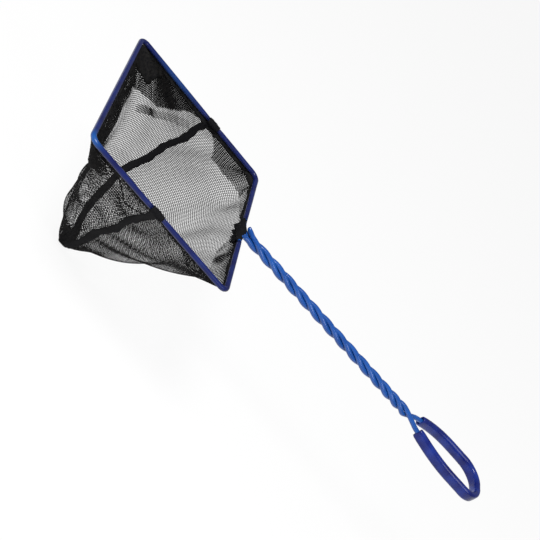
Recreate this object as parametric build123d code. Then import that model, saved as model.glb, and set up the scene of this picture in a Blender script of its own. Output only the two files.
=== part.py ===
from build123d import *
import os
from math import atan2, cos, dist, pi, radians, sin, sqrt, tan

# An aquarium fish net. One wire is bent into a rectangular hoop, laid three times round
# itself as a twisted handle and closed in a grip loop. A mesh bag of two panels hangs from the hoop.
# The origin is the point inside the grip loop where the net hangs on a hook. The handle runs
# towards -X, the hoop is level and the bag hangs towards -Z. All sizes are in millimetres.

# Hoop, along the centre line of its wire
hoop_width = 152.0
hoop_depth = 127.0
hoop_corner_radius = 6.0

# Steel wire, bare round the hoop and with a bonded vinyl coat on the handle and the grip loop.
# Long round sections are drawn with a few flat sides
wire_diameter = 2.0
coat_diameter = 3.4
round_sides = 8

# Twisted handle. The lay tightens by a share of itself over the last stretch
handle_tilt = 2.0
throat_length = 10.1
twist_length = 166.9
whole_turns = 4
tighten_length = 37.0
tighten_share = 0.5
strand_gap = 0.5
strand_pieces = 13
first_strand_angle = 210.0
free_end_length = 3.0

# Points on which the least gap between strands is measured, and how many diameters apart along the wire
gap_spacing = 0.5
gap_apart = 4

# Throat, where two strands part and become the hoop and the third ends in a cut stub
throat_half_width = 4.0
throat_bend_radius = 5.0
lead_run = 2.5
lead_bend_radius = 5.0
stub_length = 6.0
stub_side = 2.8
stub_rise = 4.0

# Grip loop, along the centre line of its wire
neck_length = 15.0
neck_half_width = 6.1
neck_bend_radius = 20.0
shoulder_length = 26.0
loop_length = 72.5
loop_half_width = 17.4
loop_side_radius = 80.0
loop_tip_flat = 4.8

# Grip sleeve, a vinyl tube pressed flat round the wire of the loop
grip_width = 8.6
grip_wall = 0.6
grip_edge_wall = 1.5
grip_edge_chamfer = 1.3
grip_clearance = 0.05
grip_near_start = 3.0
grip_far_start = 5.5

# Cloth of the hem and the fit of the pieces round the wire
fabric = 0.2
fit = 0.03
hem_drop = 8.0

# Rim sleeves, slit vinyl tubes that snap over the hem
sleeve_wall = 0.44
sleeve_end_gap = 0.15

# Seam tape and the wraps that tie it to the hoop, placed from the middle of the hoop to the handle
seam_far_lead = 14.0
seam_near_lead = -3.0
tape_width = 5.0
tape_thickness = 1.2
wrap_length = 7.0
wrap_wall = 1.2

# Gathered cloth at the throat
gather_wrap = 4.0
gather_thickness = 1.6
gather_top = 2.1

# Bag. Its bottom is placed from the middle of the hoop, to the handle and to the far side
bag_depth = 107.0
panel_thickness = 0.6
bottom_length = 9.0
bottom_width = 22.0
bottom_lead = 3.0
bottom_side = 7.0
bottom_corner_radius = 4.4
corner_swell = 28.0
corner_most_share = 0.45
corner_facets = 2
bag_bands = 8

# Grid of openings that stands for the fine mesh of the bag
end_wall_cells = 4
side_wall_cells = 2
bar_width = 2.8
least_opening = 3.0

# How each wall of the bag draws in with depth: 1 is straight, more hangs longer before it draws in
front_exponent = 1.0
rear_exponent = 1.9
near_exponent = 0.85
far_exponent = 4.0

# Sizes that follow
strand_count = 3
strand_step = 2 * pi / strand_count
strand_radius = (coat_diameter + strand_gap) / (2 * sin(pi / strand_count))
first_strand = radians(first_strand_angle)
twist_turn = 2 * pi * whole_turns + strand_step
lay_rate = twist_turn / (twist_length + tighten_share * tighten_length / 2)
wire_radius = wire_diameter / 2
hem_inner = wire_radius + fit
hem_outer = hem_inner + fabric
hem_tail = 2 * fabric
sleeve_inner = hem_outer + fit
sleeve_outer = sleeve_inner + sleeve_wall
sleeve_slit = hem_tail + 2 * fit
grip_bore = coat_diameter + 2 * grip_clearance
grip_bore_width = grip_width - 2 * grip_edge_wall
grip_thickness = grip_bore + 2 * grip_wall
neck = throat_length + twist_length + neck_length
shoulder = neck + shoulder_length
loop_tip = neck + loop_length
loop_slope = (loop_half_width - neck_half_width) / shoulder_length
loop_corner_radius = loop_half_width - loop_tip_flat / 2
shoulder_room = (shoulder_length - max(grip_near_start, grip_far_start)) * sqrt(1 + loop_slope**2)
shoulder_radius = min(loop_side_radius, shoulder_room / tan(atan2(loop_slope, 1) / 2))
hang_distance = loop_tip - grip_thickness / 2
half_width = hoop_width / 2
half_wrap = wrap_length / 2
seam_far = hoop_depth / 2 - seam_far_lead
seam_near = hoop_depth / 2 - seam_near_lead
bottom_back = hoop_depth / 2 - bottom_lead
sleeve_stop = half_wrap + sleeve_end_gap
gather_start = throat_half_width + throat_bend_radius
gather_half_width = gather_start + gather_wrap
gather_stop = gather_half_width + sleeve_end_gap

up = Vector(0, 0, 1)
side = Vector(0, 1, 0)
handle_axis = Vector(cos(radians(handle_tilt)), 0, sin(radians(handle_tilt)))
handle_up = Vector(-sin(radians(handle_tilt)), 0, cos(radians(handle_tilt)))
throat = handle_axis * -hang_distance


def on_hoop(x, y, z=0.0):
    """A point in the hoop's frame: x from the handle side, y across, z up from the wire."""
    return throat + Vector(x, y, z)


def on_handle(s, y=0.0, z=0.0):
    """A point beside the handle: s along its axis from the hoop, y across, z up."""
    return throat + handle_axis * s + side * y + handle_up * z


def strand_point(strand, share):
    """A point on one strand's centre line, a share of its turns along, and its heading to the grip."""
    turn = twist_turn * share
    even_length = twist_length - tighten_length
    past_even = max(0.0, turn / lay_rate - even_length)
    tight = tighten_length / tighten_share * (sqrt(1 + 2 * tighten_share * past_even / tighten_length) - 1)
    along = min(turn / lay_rate, even_length) + tight
    rate = lay_rate * (1 + tighten_share * tight / tighten_length)
    angle = first_strand + strand * strand_step + turn
    point = on_handle(throat_length + along, strand_radius * cos(angle), strand_radius * sin(angle))
    around = strand_radius * rate
    heading = handle_axis + side * (-around * sin(angle)) + handle_up * (around * cos(angle))
    return point, heading.normalized()


def biarc(start, start_heading, end, end_heading):
    """Two arcs that leave start and reach end along the given headings and meet smoothly."""
    chord = end - start
    reach_on = chord.dot(start_heading + end_heading)
    turn = 2 * (1 - start_heading.dot(end_heading))
    reach = (sqrt(reach_on**2 + turn * chord.dot(chord)) - reach_on) / turn
    before = start + start_heading * reach
    after = end - end_heading * reach
    middle = (before + after) * 0.5
    return [
        Edge.make_tangent_arc(start, start_heading, middle),
        Edge.make_tangent_arc(middle, after - before, end),
    ]


def strand_edges(strand):
    """The arcs of one strand of the twist, from the throat to the grip."""
    stations = [strand_point(strand, i / strand_pieces) for i in range(strand_pieces + 1)]
    edges = []
    for (start, start_heading), (end, end_heading) in zip(stations, stations[1:]):
        edges += biarc(start, start_heading, end, end_heading)
    return edges


def round_outline(radius):
    """A round section with a few flat sides, which all lie outside the radius."""
    return RegularPolygon(radius, round_sides, major_radius=False)


def level_section(path, sketch):
    """The sketch set square on a level path's start, with its y axis pointing down."""
    heading = path % 0
    return Plane(origin=path @ 0, x_dir=heading.cross(up), z_dir=heading) * sketch


def hoop_path(points):
    """A level run along the hoop, with its bends."""
    return Wire(FilletPolyline(*points, radius=[hoop_corner_radius] * (len(points) - 2)).edges())


def beside_neck(past_neck):
    """Half the loop's width between its neck and its shoulder."""
    return neck_half_width + past_neck * loop_slope


# Route of the wire: free end, first strand, hoop, second strand, grip loop, third strand, stub
hoop_corners = [
    on_hoop(0, -half_width),
    on_hoop(-hoop_depth, -half_width),
    on_hoop(-hoop_depth, half_width),
    on_hoop(0, half_width),
]
near_start, near_heading = strand_point(0, 0)
far_start, far_heading = strand_point(1, 0)
stub_start, stub_heading = strand_point(2, 0)
free_start, free_heading = strand_point(0, 1)
near_exit, near_exit_heading = strand_point(1, 1)
far_exit, far_exit_heading = strand_point(2, 1)

near_lead = FilletPolyline(
    near_start,
    near_start - near_heading * lead_run,
    on_hoop(0, -throat_half_width),
    on_hoop(0, -gather_start),
    radius=[lead_bend_radius, throat_bend_radius],
)
far_lead = FilletPolyline(
    on_hoop(0, gather_start),
    on_hoop(0, throat_half_width),
    far_start - far_heading * lead_run,
    far_start,
    radius=[throat_bend_radius, lead_bend_radius],
)
loop_turns = [
    on_handle(shoulder, -loop_half_width),
    on_handle(loop_tip, -loop_half_width),
    on_handle(loop_tip, loop_half_width),
    on_handle(shoulder, loop_half_width),
]
loop_radii = [shoulder_radius, loop_corner_radius, loop_corner_radius, shoulder_radius]
loop_run = FilletPolyline(
    near_exit,
    near_exit + near_exit_heading * lead_run,
    on_handle(neck, -neck_half_width),
    *loop_turns,
    on_handle(neck, neck_half_width),
    far_exit + far_exit_heading * lead_run,
    far_exit,
    radius=[neck_bend_radius, neck_bend_radius] + loop_radii + [neck_bend_radius, lead_bend_radius],
)
stub = FilletPolyline(
    stub_start,
    stub_start - stub_heading * lead_run,
    stub_start - handle_axis * (lead_run + stub_length) + side * stub_side + handle_up * (stub_rise - strand_radius),
    radius=[lead_bend_radius],
)
free_end = Line(free_start, free_start + free_heading * free_end_length)
strands = [strand_edges(strand) for strand in range(strand_count)]
hoop_wire = hoop_path([on_hoop(0, -gather_start), *hoop_corners, on_hoop(0, gather_start)])
near_coat = Wire(free_end.edges() + strands[0] + near_lead.edges())
far_coat = Wire(far_lead.edges() + strands[1] + loop_run.edges() + strands[2] + stub.edges())
wire_path = Wire(near_coat.edges() + hoop_wire.edges() + far_coat.edges())


def least_gap(path, diameter):
    """The least gap between stretches of a wire that lie some diameters apart along it."""
    count = int(path.length / gap_spacing)
    points = [tuple(path @ (i / count)) for i in range(count + 1)]
    apart = int(gap_apart * diameter / gap_spacing)
    nearest = min(dist(p, q) for i, p in enumerate(points) for q in points[i + apart :])
    return nearest - diameter


def round_sweep(path, diameter):
    """A round bar along a path."""
    plane = Plane(origin=path @ 0, z_dir=path % 0)
    return sweep(plane * RegularPolygon(diameter / 2, round_sides), path=path, clean=False)


def make_frame_wire():
    """The whole wire, from its free end at the grip to its stub at the throat."""
    hoop = round_sweep(hoop_wire, wire_diameter)
    return hoop.fuse(round_sweep(near_coat, coat_diameter), round_sweep(far_coat, coat_diameter))


def make_grip_sleeve():
    """The flattened tube round the loop's wire."""
    path = Wire(
        FilletPolyline(
            on_handle(neck + grip_near_start, -beside_neck(grip_near_start)),
            *loop_turns,
            on_handle(neck + grip_far_start, beside_neck(grip_far_start)),
            radius=loop_radii,
        ).edges()
    )
    outline = Rectangle(grip_width, grip_thickness)
    outline = chamfer(outline.vertices(), grip_edge_chamfer)
    section = outline - Rectangle(grip_bore_width, grip_bore)
    plane = Plane(origin=path @ 0, x_dir=handle_up, z_dir=path % 0)
    return sweep(plane * section, path=path)


def rim_runs(seam_stop, throat_stop):
    """The three level runs of the rim, cut back at each seam wrap and at the throat."""
    front_far = on_hoop(-seam_far - seam_stop, half_width)
    front_near = on_hoop(-seam_near - seam_stop, -half_width)
    rear_far = on_hoop(-seam_far + seam_stop, half_width)
    rear_near = on_hoop(-seam_near + seam_stop, -half_width)
    return {
        "front": hoop_path([front_far, hoop_corners[2], hoop_corners[1], front_near]),
        "far": hoop_path([on_hoop(0, throat_stop), hoop_corners[3], rear_far]),
        "near": hoop_path([rear_near, hoop_corners[0], on_hoop(0, -throat_stop)]),
    }


def make_rim_sleeve(path):
    """A slit tube that covers the hem and the wire."""
    slit = Pos(0, sleeve_outer / 2) * Rectangle(sleeve_slit, sleeve_outer)
    slit += Pos(0, sleeve_outer) * Rectangle(sleeve_slit, sleeve_outer)
    section = round_outline(sleeve_outer) - round_outline(sleeve_inner) - slit
    return sweep(level_section(path, section), path=path)


def make_hem(path):
    """Cloth folded round the wire, with its two layers hanging through the slit."""
    tail = Pos(0, (hem_inner + hem_drop) / 2) * Rectangle(hem_tail, hem_drop - hem_inner)
    section = round_outline(hem_outer) + tail - round_outline(hem_inner)
    return sweep(level_section(path, section), path=path)


def make_seam_wrap(x, y):
    """The end of the seam tape, wrapped round the hoop's wire."""
    plane = Plane(on_hoop(x - half_wrap, y), x_dir=side, z_dir=(1, 0, 0))
    ring = extrude(plane * (round_outline(hem_inner + wrap_wall) - round_outline(hem_inner)), wrap_length)
    tail_top = hem_inner + wrap_wall / 2
    tail_middle = on_hoop(x, y, -(tail_top + hem_drop) / 2)
    tail = Pos(*tail_middle) * Box(tape_width, tape_thickness, hem_drop - tail_top)
    return ring + tail


def make_throat_gather():
    """The ends of the hem, gathered and wrapped round both wires beside the throat."""
    height = hem_drop - gather_top
    middle = on_hoop(0, 0, -(hem_drop + gather_top) / 2)
    cloth = Pos(*middle) * Box(gather_thickness, 2 * gather_half_width, height)
    ring = round_outline(hem_inner + wrap_wall) - round_outline(hem_inner)
    for start in (-gather_half_width, gather_start + sleeve_end_gap):
        plane = Plane(on_hoop(0, start), x_dir=(1, 0, 0), z_dir=(0, 1, 0))
        cloth += extrude(plane * ring, gather_wrap - sleeve_end_gap)
    return cloth


def bag_outline(share, grow):
    """Points round the bag at a share of the way from the hem to the bottom, grown by an amount."""

    def drawn_in(rim, bottom, exponent):
        return rim + (bottom - rim) * share**exponent

    depth = hem_drop + (bag_depth - hem_drop) * share
    front = drawn_in(-hoop_depth, -bottom_back - bottom_length / 2, front_exponent)
    rear = drawn_in(0.0, -bottom_back + bottom_length / 2, rear_exponent)
    near = drawn_in(-half_width, bottom_side - bottom_width / 2, near_exponent)
    far = drawn_in(half_width, bottom_side + bottom_width / 2, far_exponent)
    swell = corner_swell * 4 * share * (1 - share)
    corner = drawn_in(hoop_corner_radius, bottom_corner_radius, 1.0) + swell
    corner = min(corner, corner_most_share * min(rear - front, far - near))
    drop = depth + (grow if share > 0 else 0.0)
    centres = [
        (rear - corner, far - corner),
        (front + corner, far - corner),
        (front + corner, near + corner),
        (rear - corner, near + corner),
    ]
    points = []
    for quarter, (x, y) in enumerate(centres):
        for facet in range(corner_facets + 1):
            angle = (quarter + facet / corner_facets) * pi / 2
            reach = corner + grow
            points.append(on_hoop(x + reach * cos(angle), y + reach * sin(angle), -drop))
    return points


def bag_form(grow):
    """The filled form of the bag in bands of flat facets, grown outwards by the given amount."""
    rings = [bag_outline(i / bag_bands, grow) for i in range(bag_bands + 1)]
    faces = [Face(Wire.make_polygon(ring)) for ring in (rings[0], rings[-1])]
    for upper, lower in zip(rings, rings[1:]):
        for i in range(len(upper)):
            faces.append(Face(Wire.make_polygon([upper[i - 1], upper[i], lower[i], lower[i - 1]])))
    return Solid(Shell(faces))


def between(start, end, cells):
    """Points that divide a straight line into equal cells, with its ends."""
    return [start + (end - start) * (i / cells) for i in range(cells + 1)]


def grid_runs(share):
    """Points round the front and the rear panel at one level, where the bars of the grid cross it."""
    ring = bag_outline(share, 0.0)
    per_corner = corner_facets + 1
    rear_far, front_far, front_near, rear_near = (ring[i * per_corner :][:per_corner] for i in range(4))

    def seam_edge(wall_point, lead):
        y = wall_point.Y
        x = throat.X - (seam_far + seam_near) / 2 + (seam_near - seam_far) * y / hoop_width
        return Vector(x + lead * tape_width / 2, y, wall_point.Z)

    front = between(seam_edge(front_far[0], -1), front_far[0], side_wall_cells)[:-1]
    front += front_far[:-1] + between(front_far[-1], front_near[0], end_wall_cells)[:-1] + front_near[:-1]
    front += between(front_near[-1], seam_edge(front_near[-1], -1), side_wall_cells)
    rear = between(seam_edge(rear_near[0], 1), rear_near[0], side_wall_cells)[:-1]
    rear += rear_near[:-1] + between(rear_near[-1], rear_far[0], end_wall_cells)[:-1] + rear_far[:-1]
    rear += between(rear_far[-1], seam_edge(rear_far[-1], 1), side_wall_cells)
    return front, rear


def grid_opening(upper_start, upper_end, lower_start, lower_end):
    """A cutter for one cell of the grid inside its bars, or nothing where the cell is too small."""
    height = ((lower_start + lower_end) * 0.5 - (upper_start + upper_end) * 0.5).length
    edges = []
    for share in (bar_width / 2 / height, 1 - bar_width / 2 / height):
        start = upper_start + (lower_start - upper_start) * share
        end = upper_end + (lower_end - upper_end) * share
        room = (end - start).length
        if room < bar_width + least_opening:
            return None
        inset = (end - start) * (bar_width / 2 / room)
        edges += [(start + inset, end - inset)]
    (a, b), (c, d) = edges
    return extrude(Face(Wire.make_polygon([a, b, d, c])), 2 * panel_thickness, both=True)


def grid_openings():
    """Cutters for all the openings of the two panels."""
    levels = [grid_runs(i / bag_bands) for i in range(bag_bands + 1)]
    cutters = []
    for upper_runs, lower_runs in zip(levels, levels[1:]):
        for upper, lower in zip(upper_runs, lower_runs):
            for i in range(len(upper) - 1):
                cutters.append(grid_opening(upper[i], upper[i + 1], lower[i], lower[i + 1]))
    return [cutter for cutter in cutters if cutter]


def seam_slab(low, high):
    """The space between two planes along the seam, from low to high towards the handle."""
    far = on_hoop(-seam_far, half_width)
    near = on_hoop(-seam_near, -half_width)
    along = (far - near).normalized()
    reach = 2 * (hoop_width + hoop_depth + bag_depth)
    plane = Plane(origin=(far + near) * 0.5, x_dir=along.cross(up), z_dir=up)
    slab = Pos((low + high) / 2, 0, 0) * Box(high - low, reach, reach)
    return plane * slab


def make_bag():
    """The two panels of the bag and the tape over the seam between them."""
    panel_half = panel_thickness / 2
    tape_half = tape_thickness / 2
    reach = hoop_width + hoop_depth
    shell = (bag_form(panel_half) - bag_form(-panel_half)).cut(*grid_openings())
    band = bag_form(tape_half) - bag_form(-tape_half)
    front = shell & seam_slab(-reach, -tape_width / 2)
    rear = shell & seam_slab(tape_width / 2, reach)
    tape = band & seam_slab(-tape_width / 2, tape_width / 2)
    return front, rear, tape


panel_front, panel_rear, seam_tape = make_bag()
pieces = {
    "frame_wire": make_frame_wire(),
    "grip_sleeve": make_grip_sleeve(),
    "seam_wrap_far": make_seam_wrap(-seam_far, half_width),
    "seam_wrap_near": make_seam_wrap(-seam_near, -half_width),
    "throat_gather": make_throat_gather(),
    "net_panel_front": panel_front,
    "net_panel_rear": panel_rear,
    "seam_tape": seam_tape,
}
for name, run in rim_runs(sleeve_stop, gather_stop).items():
    pieces["rim_sleeve_" + name] = make_rim_sleeve(run)
    pieces["hem_" + name] = make_hem(run)

print("least gap between strands of the wire:", round(least_gap(wire_path, coat_diameter), 2), "mm")
os.makedirs("parts", exist_ok=True)
for name, piece in pieces.items():
    export_step(piece, os.path.join("parts", name + ".step"))
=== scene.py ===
import math

import bpy
import numpy as np
from mathutils import Matrix, Vector


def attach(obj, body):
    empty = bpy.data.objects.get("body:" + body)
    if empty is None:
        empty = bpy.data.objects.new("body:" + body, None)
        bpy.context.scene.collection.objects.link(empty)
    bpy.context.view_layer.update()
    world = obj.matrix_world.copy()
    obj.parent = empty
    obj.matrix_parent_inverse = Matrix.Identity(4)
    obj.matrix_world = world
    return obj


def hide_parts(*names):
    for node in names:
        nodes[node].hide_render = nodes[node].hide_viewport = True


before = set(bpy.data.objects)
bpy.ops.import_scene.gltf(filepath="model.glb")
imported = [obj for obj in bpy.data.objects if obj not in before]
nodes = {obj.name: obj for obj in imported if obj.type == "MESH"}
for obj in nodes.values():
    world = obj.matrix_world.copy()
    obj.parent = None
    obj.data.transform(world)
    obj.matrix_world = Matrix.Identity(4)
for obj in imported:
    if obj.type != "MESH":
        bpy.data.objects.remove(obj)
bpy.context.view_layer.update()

MM = 0.001
rng = np.random.default_rng(7)

# Sizes of the net, as the solids have them
HOOP_WIDTH = 152 * MM
HOOP_DEPTH = 127 * MM
HOOP_CORNER = 6 * MM
HANDLE_TILT = math.radians(2)
HANG_DISTANCE = 262.15 * MM
BAG_DEPTH = 107 * MM
BOTTOM_LENGTH = 9 * MM
BOTTOM_WIDTH = 22 * MM
BOTTOM_BACK = 60.5 * MM
BOTTOM_SIDE = 7 * MM
BOTTOM_CORNER = 4.4 * MM
CORNER_SWELL = 28 * MM
CORNER_LIMIT = 0.45
FRONT_EXPONENT = 1.0
REAR_EXPONENT = 1.9
NEAR_EXPONENT = 0.85
FAR_EXPONENT = 4.0
SEAM_FAR = 49.5 * MM
SEAM_NEAR = 66.5 * MM
TAPE_WIDTH = 5.6 * MM
WRAP_LENGTH = 10 * MM
GATHER_HALF_WIDTH = 13 * MM

HALF_WIDTH = HOOP_WIDTH / 2
THROAT = Vector(
    (-HANG_DISTANCE * math.cos(HANDLE_TILT), 0, -HANG_DISTANCE * math.sin(HANDLE_TILT))
)
THROAT_ARRAY = np.array(THROAT)
ALONG_HANDLE = np.array([1.0, 0.0, 0.0])
UP = np.array([0.0, 0.0, 1.0])

# Materials: vinyl is mottled and has a fine skin, cloth has fibres
MOTTLE_SCALE = 90.0
MOTTLE_STOPS = (0.3, 0.7)
SKIN_SCALE = 900.0
SKIN_DETAIL = 2.0
SKIN_BUMP = 0.1
SKIN_HEIGHT = 0.2 * MM
CLOTH_ROUGHNESS = 0.8
CLOTH_GLOSS = 0.12
FIBRE_STOPS = (0.35, 0.75)
FIBRE_HEIGHT = 0.4 * MM


def new_material(name, base, roughness):
    """A principled material and its parts, for a node setup to build on."""
    material = bpy.data.materials.new(name)
    material.use_nodes = True
    tree = material.node_tree
    shader = tree.nodes["Principled BSDF"]
    shader.inputs["Base Color"].default_value = (*base, 1)
    shader.inputs["Roughness"].default_value = roughness
    return material, tree, shader


def noise_at(tree, scale, detail=4.0):
    """The factor of a noise texture in object coordinates."""
    place = tree.nodes.new("ShaderNodeTexCoord")
    noise = tree.nodes.new("ShaderNodeTexNoise")
    noise.inputs["Scale"].default_value = scale
    noise.inputs["Detail"].default_value = detail
    tree.links.new(place.outputs["Object"], noise.inputs["Vector"])
    return noise.outputs["Fac"]


def ramp_from(tree, source, places, colours):
    """A colour ramp driven by a texture's factor."""
    ramp = tree.nodes.new("ShaderNodeValToRGB")
    for element, place, colour in zip(ramp.color_ramp.elements, places, colours):
        element.position = place
        element.color = (*colour, 1)
    tree.links.new(source, ramp.inputs["Fac"])
    return ramp.outputs["Color"]


def bump_from(tree, shader, source, strength, distance):
    """A bump on the shader's normal from a height."""
    bump = tree.nodes.new("ShaderNodeBump")
    bump.inputs["Strength"].default_value = strength
    bump.inputs["Distance"].default_value = distance
    tree.links.new(source, bump.inputs["Height"])
    tree.links.new(bump.outputs["Normal"], shader.inputs["Normal"])


def painted_highlight_at(tree, colour, spot, highlight_colour, reach):
    """A colour with a painted highlight, paler towards a spot of the object."""
    place = tree.nodes.new("ShaderNodeTexCoord")
    away = tree.nodes.new("ShaderNodeVectorMath")
    away.operation = "DISTANCE"
    away.inputs[1].default_value = spot
    tree.links.new(place.outputs["Object"], away.inputs[0])
    near = tree.nodes.new("ShaderNodeMapRange")
    near.interpolation_type = "SMOOTHSTEP"
    near.inputs["From Min"].default_value = reach
    near.inputs["From Max"].default_value = 0.0
    tree.links.new(away.outputs["Value"], near.inputs["Value"])
    mix = tree.nodes.new("ShaderNodeMixRGB")
    mix.inputs["Color2"].default_value = (*highlight_colour, 1)
    tree.links.new(near.outputs["Result"], mix.inputs["Fac"])
    tree.links.new(colour, mix.inputs["Color1"])
    return mix.outputs["Color"]


def vinyl(name, dark, light, roughness, gloss, highlight_spots=()):
    """Glossy vinyl, with painted highlights that make it paler at some spots."""
    material, tree, shader = new_material(name, dark, roughness)
    colour = ramp_from(tree, noise_at(tree, MOTTLE_SCALE), MOTTLE_STOPS, (dark, light))
    # Painted highlights: the colour is mixed paler near each spot
    for spot, highlight_colour, reach in highlight_spots:
        colour = painted_highlight_at(tree, colour, spot, highlight_colour, reach)
    tree.links.new(colour, shader.inputs["Base Color"])
    shader.inputs["Specular IOR Level"].default_value = gloss
    skin = noise_at(tree, SKIN_SCALE, SKIN_DETAIL)
    bump_from(tree, shader, skin, SKIN_BUMP, SKIN_HEIGHT)
    return material


def cloth(name, dark, light, scale, bump):
    """Black cloth with fibres that catch a little light."""
    material, tree, shader = new_material(name, dark, CLOTH_ROUGHNESS)
    fibres = noise_at(tree, scale)
    colour = ramp_from(tree, fibres, FIBRE_STOPS, (dark, light))
    tree.links.new(colour, shader.inputs["Base Color"])
    shader.inputs["Specular IOR Level"].default_value = CLOTH_GLOSS
    bump_from(tree, shader, fibres, bump, FIBRE_HEIGHT)
    return material


# Spots of painted highlight on the rim's vinyl, with the highlight colour there and its reach
FAR_HIGHLIGHT_PLACE = 90 * MM
NEAR_CORNER = THROAT + Vector((-HOOP_DEPTH, -HALF_WIDTH, 0))
FAR_SIDE = THROAT + Vector((-FAR_HIGHLIGHT_PLACE, HALF_WIDTH, 0))
PAINTED_HIGHLIGHTS = [
    (NEAR_CORNER, (0.009, 0.07, 0.27), 12 * MM),
    (FAR_SIDE, (0.006, 0.032, 0.14), 32 * MM),
]
ROYAL = vinyl("royal_vinyl", (0.006, 0.055, 0.25), (0.011, 0.08, 0.33), 0.22, 0.5)
# The navy rim takes the painted highlights at these spots
NAVY = vinyl("navy_vinyl", (0.004, 0.006, 0.058), (0.007, 0.016, 0.11), 0.28, 0.3, PAINTED_HIGHLIGHTS)
GRIP = vinyl("grip_vinyl", (0.004, 0.006, 0.085), (0.012, 0.03, 0.22), 0.22, 0.3)
THREAD = cloth("mesh_thread", (0.004, 0.004, 0.005), (0.016, 0.015, 0.014), 700.0, 0.2)
TAPE = cloth("binding_tape", (0.002, 0.002, 0.003), (0.008, 0.008, 0.009), 1500.0, 0.6)

# Form of the bag: the cloth starts under the rim, its seams waver, and the far seam drifts to the
# front and bows. The front leans in below the rim and bulges lower down, and the rear swells.
RIM_DROP = 1.2 * MM
LEVELS = 160
ARC_POINTS = 241
CORNER_POINTS = 13
NEAR_FRONT_CORNER = 0.4
CORNER_SHARPENING = 8
SEAM_DRIFT = 5.0 * MM
DRIFT_ONSET = 0.05
SEAM_BOW = 9.0 * MM
FAR_WAVER = 0.8 * MM
FAR_WAVER_RATE = 22
NEAR_WAVER = 0.9 * MM
NEAR_WAVER_RATE = 17
FRONT_LEAN = 7.0 * MM
LEAN_MARGIN = 0.15
FRONT_BULGE = 6.0 * MM
REAR_BULGE = 4.0 * MM

# Factors that bring share**a * (1 - share)**b to about 1 at its peak, named by a and b
PEAK_1_1 = 4
PEAK_1_3 = 1 / 0.105
PEAK_2_1 = 6.75
PEAK_3_1 = 9.5

# Slack waves of the cloth, which fade towards the rim and the seams
WAVE_HEIGHT = 0.7 * MM
WAVE_RIM_MARGIN = 12 * MM
WAVE_SEAM_MARGIN = 10 * MM
WAVE_RATE = 190
WAVE_SWAY = 3.0
SWAY_RATE = 45
SLANT_SHARE = 0.7
SLANT_RATE_ACROSS = 83
SLANT_RATE_DOWN = 120
SLOPE_STEP = 1.5 * MM


def walls(share):
    """Front, rear, near and far wall of the bag and its corner radius, a share of the way down."""

    def drawn_in(rim, bottom, exponent):
        return rim + (bottom - rim) * share**exponent

    front = drawn_in(-HOOP_DEPTH, -BOTTOM_BACK - BOTTOM_LENGTH / 2, FRONT_EXPONENT)
    rear = drawn_in(0.0, -BOTTOM_BACK + BOTTOM_LENGTH / 2, REAR_EXPONENT)
    near = drawn_in(-HALF_WIDTH, BOTTOM_SIDE - BOTTOM_WIDTH / 2, NEAR_EXPONENT)
    far = drawn_in(HALF_WIDTH, BOTTOM_SIDE + BOTTOM_WIDTH / 2, FAR_EXPONENT)
    corner = drawn_in(HOOP_CORNER, BOTTOM_CORNER, 1.0)
    corner += CORNER_SWELL * PEAK_1_1 * share * (1 - share)
    corner = min(corner, CORNER_LIMIT * (rear - front), CORNER_LIMIT * (far - near))
    return front, rear, near, far, corner


def seam_points(share):
    """Where the seam crosses the far and the near wall at one level."""
    _, _, near, far, _ = walls(share)
    middle = -(SEAM_FAR + SEAM_NEAR) / 2
    slope = (SEAM_NEAR - SEAM_FAR) / HOOP_WIDTH
    drift = SEAM_DRIFT * (1 - math.exp(-share / DRIFT_ONSET)) * (1 - share)
    drift += FAR_WAVER * math.sin(FAR_WAVER_RATE * share)
    drift += SEAM_BOW * PEAK_3_1 * share**3 * (1 - share)
    waver = NEAR_WAVER * math.sin(NEAR_WAVER_RATE * share)
    far_seam = np.array([middle + slope * far - drift, far])
    near_seam = np.array([middle + slope * near + waver, near])
    return far_seam, near_seam


def bag_outline(share):
    """A front and a rear arc of the bag at one level, each from the far seam to the near."""
    front, rear, near, far, corner = walls(share)
    sharpened = (1 - NEAR_FRONT_CORNER) * (1 - share) ** CORNER_SHARPENING
    sharp = corner * (NEAR_FRONT_CORNER + sharpened)
    corners = [
        (front + corner, far - corner, corner, math.pi / 2),
        (front + sharp, near + sharp, sharp, math.pi),
        (rear - corner, near + corner, corner, 1.5 * math.pi),
        (rear - corner, far - corner, corner, 0.0),
    ]
    quarter = np.linspace(0, math.pi / 2, CORNER_POINTS)
    loop = []
    for x, y, radius, start in corners:
        turns = start + quarter
        loop.append(np.c_[x + radius * np.cos(turns), y + radius * np.sin(turns)])
    far_seam, near_seam = seam_points(share)
    front_arc = np.vstack([far_seam, *loop[:2], near_seam])
    rear_arc = np.vstack([near_seam, *loop[2:], far_seam])[::-1]
    return front_arc, rear_arc


def hang(x, y, share):
    """How far the hanging cloth moves along the handle at points of one level."""
    front, rear, near, far, _ = walls(share)
    to_front = np.clip((x - rear) / (front - rear), 0, 1) ** 2
    to_rear = np.clip((front - x) / (front - rear), 0, 1) ** 2
    to_near = (far - y) / (far - near)
    lean = FRONT_LEAN * np.clip((1 - to_near) / LEAN_MARGIN, 0, 1)
    lean = lean * PEAK_1_3 * share * (1 - share) ** 3
    bulge = FRONT_BULGE * to_near * PEAK_2_1 * share**2 * (1 - share)
    swell = REAR_BULGE * to_near * PEAK_1_1 * share * (1 - share)
    return to_front * (lean - bulge) + to_rear * swell


def section_arcs(share):
    """The two arcs of the hanging cloth at one level, in even steps, with their lengths."""
    arcs = []
    for arc in bag_outline(share):
        along = np.r_[0, np.cumsum(np.linalg.norm(np.diff(arc, axis=0), axis=1))]
        even = np.linspace(0, along[-1], ARC_POINTS)
        x, y = np.interp(even, along, arc[:, 0]), np.interp(even, along, arc[:, 1])
        arcs.append((np.c_[x + hang(x, y, share), y], along[-1]))
    return arcs


def unit(vectors):
    """Vectors brought to length 1."""
    return vectors / np.maximum(np.linalg.norm(vectors, axis=-1, keepdims=True), 1e-12)


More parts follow.
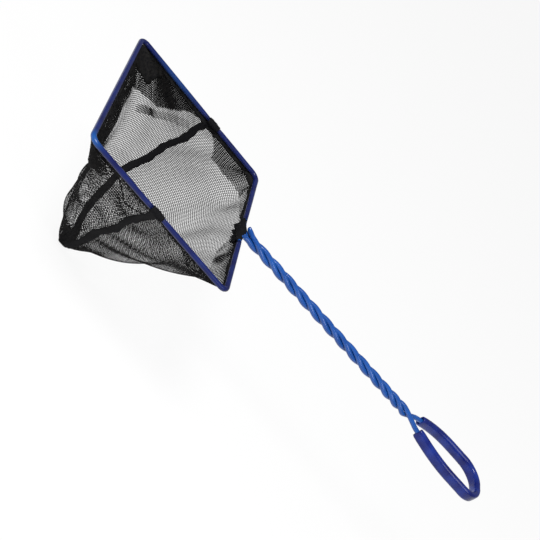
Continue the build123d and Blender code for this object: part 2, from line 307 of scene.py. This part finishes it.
class Panel:
    """One panel of the bag, measured like cloth: across from its middle and down from the rim."""

    def __init__(self, side, outward):
        depth = np.linspace(RIM_DROP, BAG_DEPTH, LEVELS)
        levels = [section_arcs(d / BAG_DEPTH)[side] for d in depth]
        rows = [np.c_[arc, np.full(len(arc), -d)] for (arc, _), d in zip(levels, depth)]
        self.outward = outward
        self.grid = np.array(rows)
        self.half = np.array([length / 2 for _, length in levels])
        steps = np.linalg.norm(np.diff(self.grid, axis=0), axis=2).mean(axis=1)
        self.down = np.r_[0, np.cumsum(steps)]

    def half_at(self, down):
        """Half the width of the panel at places down it."""
        return np.interp(down, self.down, self.half)

    def base(self, across, down):
        """Points of the smooth panel for arrays of places across and down it."""
        level = np.interp(down, self.down, np.arange(LEVELS))
        row = np.clip(level.astype(int), 0, LEVELS - 2)
        part = (level - row)[..., None]
        span = self.grid.shape[1] - 1
        place = np.clip((across / self.half_at(down) + 1) / 2, 0, 1) * span
        column = np.clip(place.astype(int), 0, span - 1)
        shift = (place - column)[..., None]
        upper = self.grid[row, column] * (1 - shift) + self.grid[row, column + 1] * shift
        lower = self.grid[row + 1, column] * (1 - shift) + self.grid[row + 1, column + 1] * shift
        return upper * (1 - part) + lower * part + THROAT_ARRAY

    def waves(self, across, down):
        """Height of the slack waves."""
        from_rim = np.clip(down / WAVE_RIM_MARGIN, 0, 1)
        from_seams = np.clip((self.half_at(down) - np.abs(across)) / WAVE_SEAM_MARGIN, 0, 1)
        upright = np.sin(across * WAVE_RATE + WAVE_SWAY * np.sin(down * SWAY_RATE))
        slanted = np.sin(across * SLANT_RATE_ACROSS - down * SLANT_RATE_DOWN)
        return WAVE_HEIGHT * from_rim * from_seams * (upright + SLANT_SHARE * slanted)

    def surface(self, across, down, lift):
        """Points of the slack cloth and the directions out of the bag there."""
        limit = self.half_at(down) - SLOPE_STEP
        inside = np.clip(across, -limit, limit)
        lower = np.clip(down, SLOPE_STEP, self.down[-1] - SLOPE_STEP)
        side = self.base(inside + SLOPE_STEP, lower) - self.base(inside - SLOPE_STEP, lower)
        fall = self.base(inside, lower + SLOPE_STEP) - self.base(inside, lower - SLOPE_STEP)
        normal = self.outward * unit(np.cross(side, fall))
        height = lift + self.waves(across, down)
        return self.base(across, down) + normal * height[..., None], normal


class Store:
    """Vertices and faces of one mesh while it is put together."""

    def __init__(self):
        self.vertices, self.faces, self.count = [], [], 0

    def add(self, vertices, faces):
        """Further vertices, with faces that count from the first of them."""
        self.faces += (np.asarray(faces) + self.count).tolist()
        self.vertices.append(vertices)
        self.count += len(vertices)

    def skin(self, rings):
        """A closed tube through rings of points."""
        count, sides = rings.shape[:2]
        first = sides * np.arange(count - 1)[:, None] + np.arange(sides)
        second = sides * np.arange(count - 1)[:, None] + (np.arange(sides) + 1) % sides
        base = self.count
        quads = np.stack([first, second, second + sides, first + sides], axis=-1)
        self.add(rings.reshape(-1, 3), quads.reshape(-1, 4))
        self.faces.append([base + i for i in reversed(range(sides))])
        self.faces.append([base + sides * (count - 1) + i for i in range(sides)])

    def tube(self, points, normals, half_width, half_thickness, sides=4):
        """A closed flat thread along points, with its flat side facing along the normals."""
        heading = unit(np.gradient(points, axis=0))
        across = unit(np.cross(heading, normals))
        upward = np.cross(across, heading)
        lines = []
        for turn in 2 * math.pi * np.arange(sides) / sides:
            aside, above = half_width * math.cos(turn), half_thickness * math.sin(turn)
            lines.append(points + aside * across + above * upward)
        self.skin(np.stack(lines, axis=1))

    def shell(self, outer, inner):
        """A closed sheet between two grids of points."""
        rows, columns = outer.shape[:2]
        size = rows * columns
        index = np.arange(size).reshape(rows, columns)
        corners = [index[:-1, :-1], index[:-1, 1:], index[1:, 1:], index[1:, :-1]]
        quads = np.stack(corners, axis=-1).reshape(-1, 4)
        edge = np.r_[index[0, :], index[1:, -1], index[-1, -2::-1], index[-2:0:-1, 0]]
        following = np.roll(edge, -1)
        rim = np.c_[following, edge, edge + size, following + size]
        faces = np.vstack([quads, quads[:, ::-1] + size, rim])
        self.add(np.vstack([outer.reshape(-1, 3), inner.reshape(-1, 3)]), faces)

    def piece(self, name, material, slot, node):
        """The mesh as a smooth piece on the only body, in place of a CAD node."""
        mesh = bpy.data.meshes.new(name)
        mesh.from_pydata(np.vstack(self.vertices).tolist(), [], self.faces)
        mesh.polygons.foreach_set("use_smooth", [True] * len(mesh.polygons))
        mesh.materials.append(material)
        piece = bpy.data.objects.new(name, mesh)
        bpy.context.scene.collection.objects.link(piece)
        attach(piece, "root")
        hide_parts(node)
        return piece


# Netting: layers of woven threads, each starting at its own share of a mesh
MESH_PITCH = 1.4 * MM
THREAD_SIDES = 3
THREAD_HALF_WIDTH = 0.29 * MM
THREAD_HALF_THICKNESS = 0.09 * MM
WEAVE_HEIGHT = 0.12 * MM
FEWEST_CROSSINGS = 3
NETTING_TOP = 2 * MM
PANEL_START = 0.5
FRONT_FLAP_START = 0.28
REAR_FLAP_START = 0.15
FOLD_START = 0.72
PLEAT_START = 0.2
NOWHERE = -1.0

# Slack cloth turned in under the rim: place across the panel from its middle and depth, in
# millimetres, and the stretch of the front where it is folded once more
FLAP_FRONT = [(-142, 3), (-118, 9), (-97, 21), (-80, 30), (-67, 31), (-50, 28), (-20, 28)]
FLAP_FRONT += [(20, 34), (60, 32), (85, 20), (100, 5)]
FLAP_REAR = [(-130, 2), (-114, 8), (-103, 13), (-92, 21), (-80, 21), (-67, 16), (-30, 9)]
FLAP_REAR += [(-10, 6), (-1, 14), (8, 24), (40, 26), (68, 22), (100, 8), (134, 3)]
FLAP_OFFSET = 0.9 * MM
FRONT_FOLD = (-72, 90)
WHOLE_PANEL = (-math.inf, math.inf)

# Creases of the front panel by the near seam and its pleat by the far seam: distance from the
# seam and depth, in millimetres
CREASES = [[(38, 5), (26, 16), (13, 27), (7, 23), (1, 18)], [(19, 28), (10, 34), (2, 38)]]
CREASE_STEPS = 8
CREASE_LIFT = 0.4 * MM
CREASE_HALF_WIDTH = 0.55 * MM
CREASE_HALF_THICKNESS = 0.35 * MM
CREASE_SIDES = 6
PLEAT = [(6, 17), (15, 22), (30, 35), (44, 41)]
PLEAT_HALF_WIDTH = 3.2 * MM


def in_metres(pairs):
    """The first and the second values of pairs in millimetres, as two arrays in metres."""
    return np.array(pairs).T * MM


def lay_threads(store, panel, lift, start, low, high):
    """Netting between two depths, which are functions of the place across the panel."""
    half = panel.half[0] / MESH_PITCH
    rows = np.arange(start, panel.down[-1] / MESH_PITCH) * MESH_PITCH
    columns = np.arange(start - round(half), half) * MESH_PITCH
    crossing = np.arange(len(rows))[:, None] + np.arange(len(columns))
    over = np.where(crossing % 2 == 0, 1.0, -1.0)
    down, across = np.meshgrid(rows, columns, indexing="ij")
    kept = (np.abs(across) < panel.half_at(down)) & (down > low(across)) & (down < high(across))
    points, normals = panel.surface(across, down, np.full(across.shape, lift))
    weave = normals * over[..., None] * WEAVE_HEIGHT
    thread = (THREAD_HALF_WIDTH, THREAD_HALF_THICKNESS, THREAD_SIDES)

    def lay(line, facing, inside):
        breaks = np.flatnonzero(np.diff(np.r_[0, inside.astype(int), 0]))
        for first, last in zip(breaks[::2], breaks[1::2]):
            if last - first >= FEWEST_CROSSINGS:
                store.tube(line[first:last], facing[first:last], *thread)

    for i in range(len(rows)):
        lay(points[i] + weave[i], normals[i], kept[i])
    for j in range(len(columns)):
        lay(points[:, j] - weave[:, j], normals[:, j], kept[:, j])


def flap_edge(flap, stretch):
    """The lower edge of turned-in cloth along a stretch of the panel."""
    places, depths = in_metres(flap)

    def edge(across):
        inside = (across > stretch[0] * MM) & (across < stretch[1] * MM)
        return np.where(inside, np.interp(across, places, depths), NOWHERE)

    return edge


def pleat_edge(panel, pleat, offset):
    """An edge of a pleat, at an offset down from the pleat's line."""
    away, depth = in_metres(pleat)
    line = away - panel.half_at(depth)

    def edge(across):
        inside = (across > line[0]) & (across < line[-1])
        return np.where(inside, np.interp(across, line, depth) + offset, NOWHERE)

    return edge


def lay_crease(store, panel, crease):
    """A crease along a line by the near seam."""
    away, depth = in_metres(crease)
    turns = np.arange(len(crease))
    even = np.linspace(0, len(crease) - 1, CREASE_STEPS * len(crease))
    down = np.interp(even, turns, depth)
    across = panel.half_at(down) - np.interp(even, turns, away)
    points, normals = panel.surface(across, down, np.full(across.shape, CREASE_LIFT))
    store.tube(points, normals, CREASE_HALF_WIDTH, CREASE_HALF_THICKNESS, CREASE_SIDES)


def netting(name, panel, flap, flap_start, folds, creases, pleats, node):
    """One panel's netting, with the slack cloth turned in under the rim, creases and pleats."""
    store = Store()

    def top(across):
        return NETTING_TOP

    def bottom(across):
        return panel.down[-1]

    lay_threads(store, panel, 0.0, PANEL_START, top, bottom)
    lay_threads(store, panel, -FLAP_OFFSET, flap_start, top, flap_edge(flap, WHOLE_PANEL))
    for fold in folds:
        lay_threads(store, panel, -2 * FLAP_OFFSET, FOLD_START, top, flap_edge(flap, fold))
    for crease in creases:
        lay_crease(store, panel, crease)
    for pleat in pleats:
        low = pleat_edge(panel, pleat, -PLEAT_HALF_WIDTH)
        high = pleat_edge(panel, pleat, PLEAT_HALF_WIDTH)
        lay_threads(store, panel, FLAP_OFFSET, PLEAT_START, low, high)
    return store.piece(name, THREAD, "black_mesh", node)


# Hem: ragged at its lower edge, puckered and stitched, with a deep patch at a corner of the front
HEM_DEPTH = 5.6 * MM
HEM_THICKNESS = 0.5 * MM
HEM_STEP = 1.5 * MM
HEM_ROWS = 7
RAGGED_DEPTH = 1.1 * MM
RAGGED_SPAN = 9
PUCKER_RATE = 900
PUCKERS = [(0.35 * MM, PUCKER_RATE), (0.25 * MM, 377)]
CORNER_PATCH_PLACE = -66 * MM
CORNER_PATCH_HALF = 22 * MM
CORNER_PATCH_DEPTH = 17 * MM
STITCH_LENGTH = 2.2 * MM
STITCH_SPACING = 3.0 * MM
STITCH_POINTS = 5
STITCH_DEPTH = 0.7 * HEM_DEPTH
STITCH_BOW = 0.25 * MM
STITCH_PUCKER = 0.25 * MM
STITCH_RADIUS = 0.14 * MM


def smooth_noise(count, span):
    """Random values, each the mean of a span of them."""
    return np.convolve(rng.normal(0, 1, count + span - 1), np.ones(span) / span, "valid")


def hem(name, panel, start, end, patch_depth, node):
    """The sewn hem under the rim between two places across the panel."""
    store = Store()
    across = np.linspace(start, end, int((end - start) / HEM_STEP))
    ragged = smooth_noise(len(across), RAGGED_SPAN) * RAGGED_DEPTH
    from_patch = np.abs(across - CORNER_PATCH_PLACE) / CORNER_PATCH_HALF
    patch = patch_depth * np.clip(1 - from_patch, 0, 1)
    shares = np.linspace(0, 1, HEM_ROWS)[:, None]
    down = shares * (HEM_DEPTH + ragged + patch)
    pucker = shares * sum(height * np.sin(across * rate) for height, rate in PUCKERS)
    places = np.broadcast_to(across, down.shape)
    outer, _ = panel.surface(places, down, pucker + HEM_THICKNESS / 2)
    inner, _ = panel.surface(places, down, pucker - HEM_THICKNESS / 2)
    store.shell(outer, inner)
    bow = STITCH_BOW * np.sin(np.linspace(0, math.pi, STITCH_POINTS))
    depth = np.full(STITCH_POINTS, STITCH_DEPTH)
    for first in np.arange(start + STITCH_SPACING, end - STITCH_SPACING, STITCH_SPACING):
        along = np.linspace(first, first + STITCH_LENGTH, STITCH_POINTS)
        for side in (1, -1):
            lift = side * (HEM_THICKNESS / 2 + bow) + STITCH_PUCKER * np.sin(along * PUCKER_RATE)
            points, normals = panel.surface(along, depth, lift)
            store.tube(points, normals, STITCH_RADIUS, STITCH_RADIUS)
    return store.piece(name, THREAD, "black_mesh", node)


# Tape: crowned and ribbed, with worn edges and a slight curl, and the closed bottom of the bag
TAPE_THICKNESS = 1.0 * MM
TAPE_STEPS = 90
TAPE_BOTTOM_STEPS = 12
TAPE_SMOOTHINGS = 6
TAPE_LINES = 9
TAPE_WEAR = 0.55 * MM
WEAR_SPAN = 3
CROWN_FULLNESS = 1.05
RIB_HEIGHT = 0.09 * MM
RIB_RATE = 4 * math.pi
CURL_HEIGHT = 0.35 * MM
CURL_RATE = 0.31
BOTTOM_ROWS = 9
BOTTOM_SKIP = 8
BOTTOM_HALF_THICKNESS = 0.3 * MM


def tape_path():
    """The way down the far seam, round the bottom and up the near seam."""
    depth = np.linspace(RIM_DROP, BAG_DEPTH, TAPE_STEPS)
    seams = [seam_points(d / BAG_DEPTH) for d in depth]
    far = np.array([[*point, -d] for (point, _), d in zip(seams, depth)])
    near = np.array([[*point, -d] for (_, point), d in zip(seams, depth)])[::-1]
    bottom = np.linspace(far[-1], near[0], TAPE_BOTTOM_STEPS)[1:-1]
    path = np.vstack([far, bottom, near]) + THROAT_ARRAY
    for _ in range(TAPE_SMOOTHINGS):
        path[1:-1] = (path[:-2] + 2 * path[1:-1] + path[2:]) / 4
    return path


def add_tape(store):
    """The binding tape along its path."""
    path = tape_path()
    heading = unit(np.gradient(path, axis=0))
    outward = unit(np.cross(np.broadcast_to(ALONG_HANDLE, heading.shape), heading))
    across = unit(np.cross(heading, outward))
    front_wear, rear_wear = (smooth_noise(len(path), WEAR_SPAN) * TAPE_WEAR for _ in range(2))
    places = np.linspace(-1, 1, TAPE_LINES)[:, None]
    offset = places * (TAPE_WIDTH / 2 + np.where(places < 0, front_wear, rear_wear))
    curl = CURL_HEIGHT * np.sin(np.arange(len(path)) * CURL_RATE) * places
    middle = path + offset[..., None] * across + curl[..., None] * outward
    crown = TAPE_THICKNESS / 2 * np.sqrt(CROWN_FULLNESS - places**2)
    ribs = RIB_HEIGHT * np.cos(places * RIB_RATE)
    lift = (crown + ribs)[..., None] * outward
    store.shell(middle + lift, middle - lift)


def add_bottom(store):
    """The flat bottom between the two arcs of the lowest level."""
    (front_edge, _), (rear_edge, _) = section_arcs(1.0)
    shares = np.linspace(0, 1, BOTTOM_ROWS)[:, None, None]
    flat = front_edge[::BOTTOM_SKIP] * (1 - shares) + rear_edge[::BOTTOM_SKIP] * shares
    depth = np.full(flat.shape[:2] + (1,), -BAG_DEPTH)
    bottom = np.concatenate([flat, depth], axis=2) + THROAT_ARRAY
    thick = BOTTOM_HALF_THICKNESS * UP
    store.shell(bottom + thick, bottom - thick)


def seam_tape():
    """The tape and the bottom of the bag that it covers."""
    store = Store()
    add_tape(store)
    add_bottom(store)
    return store.piece("seam_tape_cloth", TAPE, "black_tape", "seam_tape")


# Cloth wound round the wire: lumpy, with the edge of each turn standing up
WOUND_SHARES = np.linspace(0, 1, 40)
WOUND_SIDES = 32
WOUND_LUMP = 0.09 * MM
WOUND_EDGE = 0.22 * MM
WRAP_RADIUS = 2.1 * MM
WRAP_SWELL = 0.3 * MM
WRAP_TURNS = 2.5
WRAP_DROP = 0.2 * MM


def wound_cloth(store, start, end, radius, turns):
    """Cloth wound round the line between two points, with a radius for each of the shares."""
    level = np.cross(unit(end - start), UP)
    shares = WOUND_SHARES[:, None]
    angles = np.linspace(0, 2 * math.pi, WOUND_SIDES, endpoint=False)
    lump = rng.normal(0, WOUND_LUMP, (len(shares), len(angles)))
    edge = WOUND_EDGE * ((shares * turns + angles / (2 * math.pi)) % 1.0)
    size = radius[:, None] + lump + edge
    round_point = np.cos(angles)[:, None] * level + np.sin(angles)[:, None] * UP
    line = start + shares * (end - start)
    store.skin(line[:, None, :] + size[..., None] * round_point)


def seam_wrap(name, x, y, node):
    """The tape's end wound round the rim."""
    store = Store()
    centre = THROAT_ARRAY + np.array([x, y, -WRAP_DROP])
    half = WRAP_LENGTH / 2 * ALONG_HANDLE
    radius = WRAP_RADIUS + WRAP_SWELL * np.sin(WOUND_SHARES * math.pi)
    wound_cloth(store, centre - half, centre + half, radius, WRAP_TURNS)
    return store.piece(name, TAPE, "black_tape", node)


# Throat: hem ends gathered and wound round the wires, with frayed threads and a skirt of folds
GATHER_RADIUS = 2.1 * MM
GATHER_SWELL = 1.5 * MM
GATHER_SPREAD = 0.2
GATHER_TURNS = 6.0
GATHER_BACK = 0.6 * MM
GATHER_DROP = 0.5 * MM
FRAYED_THREADS = 9
FRAY_SCATTER = 1.5 * MM
FRAY_INSET = 6 * MM
FRAY_INSET_SCATTER = 2.0 * MM
FRAY_DROP = 2.5 * MM
FRAY_BENDS = 6
FRAY_HEADING = (0.3, -0.5, -0.9)
FRAY_JITTER = 0.45
FRAY_RADIUS = 0.1 * MM
SKIRT_ROWS = 9
SKIRT_COLUMNS = 61
SKIRT_TOP = 1.5 * MM
SKIRT_DEPTH = 5.0 * MM
SCALLOP_DEPTH = 0.7 * MM
SCALLOP_RATE = 9
SKIRT_FOLDS = [(0.9 * MM, 21), (0.5 * MM, 47)]
SKIRT_BACK = 0.8 * MM
SKIRT_SLOPE = 0.16
SKIRT_HALF_THICKNESS = 0.45 * MM


def add_frayed_threads(store, corner):
    """Loose threads that hang out near one end of the gather."""
    for _ in range(FRAYED_THREADS):
        back = FRAY_SCATTER * rng.normal()
        inset = FRAY_INSET + FRAY_INSET_SCATTER * rng.normal()
        place = corner + np.array([back, inset, -FRAY_DROP])
        steps = rng.normal(FRAY_HEADING, FRAY_JITTER, (FRAY_BENDS, 3)) * MM
        points = place + np.vstack([np.zeros(3), np.cumsum(steps, axis=0)])
        facing = np.broadcast_to(ALONG_HANDLE, points.shape)
        store.tube(points, facing, FRAY_RADIUS, FRAY_RADIUS)


def add_skirt(store):
    """Folded cloth that hangs down from the gather."""
    rows = np.linspace(0, 1, SKIRT_ROWS)[:, None]
    columns = np.linspace(-1, 1, SKIRT_COLUMNS)
    folds = rows * sum(height * np.sin(columns * rate) for height, rate in SKIRT_FOLDS)
    depth = SKIRT_TOP + rows * (SKIRT_DEPTH + SCALLOP_DEPTH * np.sin(columns * SCALLOP_RATE))
    across = np.broadcast_to(GATHER_HALF_WIDTH * columns, depth.shape)
    along = folds - SKIRT_BACK - SKIRT_SLOPE * depth
    middle = np.stack([along, across, -depth], axis=-1) + THROAT_ARRAY
    thick = SKIRT_HALF_THICKNESS * ALONG_HANDLE
    store.shell(middle - thick, middle + thick)


def throat_gather():
    """The gathered and bound cloth at the throat."""
    store = Store()
    near = THROAT_ARRAY + np.array([-GATHER_BACK, -GATHER_HALF_WIDTH, -GATHER_DROP])
    far = THROAT_ARRAY + np.array([-GATHER_BACK, GATHER_HALF_WIDTH, -GATHER_DROP])
    swell = np.exp(-(((WOUND_SHARES - 0.5) / GATHER_SPREAD) ** 2))
    wound_cloth(store, near, far, GATHER_RADIUS + GATHER_SWELL * swell, GATHER_TURNS)
    add_frayed_threads(store, near)
    add_skirt(store)
    return store.piece("throat_gather_cloth", TAPE, "black_tape", "throat_gather")


# The soft pieces
front_panel, rear_panel = Panel(0, 1.0), Panel(1, -1.0)
net_front = netting(
    "netting_front",
    front_panel,
    FLAP_FRONT,
    FRONT_FLAP_START,
    [FRONT_FOLD],
    CREASES,
    [PLEAT],
    "net_panel_front",
)
net_rear = netting(
    "netting_rear", rear_panel, FLAP_REAR, REAR_FLAP_START, [], [], [], "net_panel_rear"
)
rear_rim = rear_panel.grid[0]
front_half, rear_half = front_panel.half[0], rear_panel.half[0]
throat_share = np.interp(0.0, -rear_rim[:, 1], np.linspace(-1, 1, len(rear_rim)))
throat_place = throat_share * rear_half
hem_front = hem(
    "hem_front_cloth", front_panel, -front_half, front_half, CORNER_PATCH_DEPTH, "hem_front"
)
hem_far = hem("hem_far_cloth", rear_panel, -rear_half, throat_place, 0.0, "hem_far")
hem_near = hem("hem_near_cloth", rear_panel, throat_place, rear_half, 0.0, "hem_near")
tape = seam_tape()
wrap_far = seam_wrap("seam_wrap_far_cloth", -SEAM_FAR, HALF_WIDTH, "seam_wrap_far")
wrap_near = seam_wrap("seam_wrap_near_cloth", -SEAM_NEAR, -HALF_WIDTH, "seam_wrap_near")
gather = throat_gather()


# Carried-over solids, rounded from their flat sides. The wire swells until its strands meet.
WIRE_SWELL = 0.31 * MM
SLEEVE_SWELL = 0.08 * MM
WELD_DISTANCE = 0.02 * MM


def rounding(name, swell):
    """A modifier's nodes that join a solid's faces, swell it a little and round it."""
    group = bpy.data.node_groups.new(name, "GeometryNodeTree")
    for way in ("INPUT", "OUTPUT"):
        group.interface.new_socket("Geometry", in_out=way, socket_type="NodeSocketGeometry")
    weld = group.nodes.new("GeometryNodeMergeByDistance")
    weld.inputs["Distance"].default_value = WELD_DISTANCE
    push = group.nodes.new("GeometryNodeSetPosition")
    normal = group.nodes.new("GeometryNodeInputNormal")
    scale = group.nodes.new("ShaderNodeVectorMath")
    scale.operation = "SCALE"
    scale.inputs["Scale"].default_value = swell
    group.links.new(normal.outputs["Normal"], scale.inputs[0])
    group.links.new(scale.outputs["Vector"], push.inputs["Offset"])
    divide = group.nodes.new("GeometryNodeSubdivisionSurface")
    divide.inputs["Level"].default_value = 1
    smooth = group.nodes.new("GeometryNodeSetShadeSmooth")
    start, end = group.nodes.new("NodeGroupInput"), group.nodes.new("NodeGroupOutput")
    chain = [start, weld, push, divide, smooth, end]
    for before, after in zip(chain, chain[1:]):
        group.links.new(before.outputs[0], after.inputs[0])
    return group


def dress(name, material, group):
    """A CAD node's material and rounding."""
    nodes[name].data.materials.clear()
    nodes[name].data.materials.append(material)
    modifier = nodes[name].modifiers.new("rounding", "NODES")
    modifier.node_group = group


round_wire = rounding("round_wire", WIRE_SWELL)
round_sleeve = rounding("round_sleeve", SLEEVE_SWELL)
dress("frame_wire", ROYAL, round_wire)
dress("grip_sleeve", GRIP, round_sleeve)
for name in ("rim_sleeve_front", "rim_sleeve_far", "rim_sleeve_near"):
    dress(name, NAVY, round_sleeve)

# The photograph's camera, placed from the middle of the hoop's handle side
CAMERA_PLACE = Vector((-299.5, -793.0, 370.7)) * MM
CAMERA_RIGHT = Vector((0.603, 0.118, 0.789))
CAMERA_UP = Vector((-0.714, 0.521, 0.468))
CAMERA_LENS = 93.33
SENSOR_WIDTH = 36.0

camera_data = bpy.data.cameras.new("camera")
camera_data.lens = CAMERA_LENS
camera_data.sensor_width = SENSOR_WIDTH
camera = bpy.data.objects.new("camera", camera_data)
bpy.context.scene.collection.objects.link(camera)
right = CAMERA_RIGHT.normalized()
upward = (CAMERA_UP - right * CAMERA_UP.dot(right)).normalized()
turn = Matrix((right, upward, right.cross(upward))).transposed().to_4x4()
camera.matrix_world = Matrix.Translation(THROAT + CAMERA_PLACE) @ turn
bpy.context.scene.camera = camera

# Floor, white to the camera and in reflections, with a share of the object's shadow
FLOOR_CLEARANCE = 4 * MM
FLOOR_Z = THROAT.z - BAG_DEPTH - FLOOR_CLEARANCE
FLOOR_SIZE = 30.0
FLOOR_COLOUR = (0.9, 0.9, 0.9)
FLOOR_ROUGHNESS = 0.9
SHADOW_SHARE = 0.1

bpy.ops.mesh.primitive_plane_add(size=FLOOR_SIZE, location=(THROAT.x, 0, FLOOR_Z))
floor = bpy.context.object
floor.name = "floor"
material, tree, shader = new_material("floor", FLOOR_COLOUR, FLOOR_ROUGHNESS)
path = tree.nodes.new("ShaderNodeLightPath")
seen = path.outputs["Is Camera Ray"]
for ray in ("Is Glossy Ray", "Is Transmission Ray"):
    either = tree.nodes.new("ShaderNodeMath")
    either.operation = "MAXIMUM"
    tree.links.new(seen, either.inputs[0])
    tree.links.new(path.outputs[ray], either.inputs[1])
    seen = either.outputs[0]
white = tree.nodes.new("ShaderNodeMath")
white.operation = "MULTIPLY"
white.inputs[1].default_value = 1 - SHADOW_SHARE
tree.links.new(seen, white.inputs[0])
glow = tree.nodes.new("ShaderNodeEmission")
mix = tree.nodes.new("ShaderNodeMixShader")
tree.links.new(white.outputs[0], mix.inputs["Fac"])
tree.links.new(shader.outputs["BSDF"], mix.inputs[1])
tree.links.new(glow.outputs["Emission"], mix.inputs[2])
tree.links.new(mix.outputs["Shader"], tree.nodes["Material Output"].inputs["Surface"])
floor.data.materials.append(material)

# Lights: place from the point they aim at, size and power
WORLD_STRENGTH = 0.25
AIM = THROAT + Vector((0, 0, -20 * MM))
LIGHTS = {
    "key": (Vector((-0.7, -0.6, 1.1)), 0.4, 24),
    "fill": (Vector((0.8, -0.9, 0.8)), 0.7, 6),
}

world = bpy.data.worlds.new("world")
bpy.context.scene.world = world
world.use_nodes = True
background = world.node_tree.nodes["Background"]
background.inputs["Color"].default_value = (1, 1, 1, 1)
background.inputs["Strength"].default_value = WORLD_STRENGTH

for name, (place, size, power) in LIGHTS.items():
    light = bpy.data.lights.new(name, "AREA")
    light.size = size
    light.energy = power
    lamp = bpy.data.objects.new(name, light)
    bpy.context.scene.collection.objects.link(lamp)
    lamp.location = AIM + place
    lamp.rotation_mode = "QUATERNION"
    lamp.rotation_quaternion = (-place).to_track_quat("-Z", "Y")
bpy.context.scene.view_settings.view_transform = "Standard"
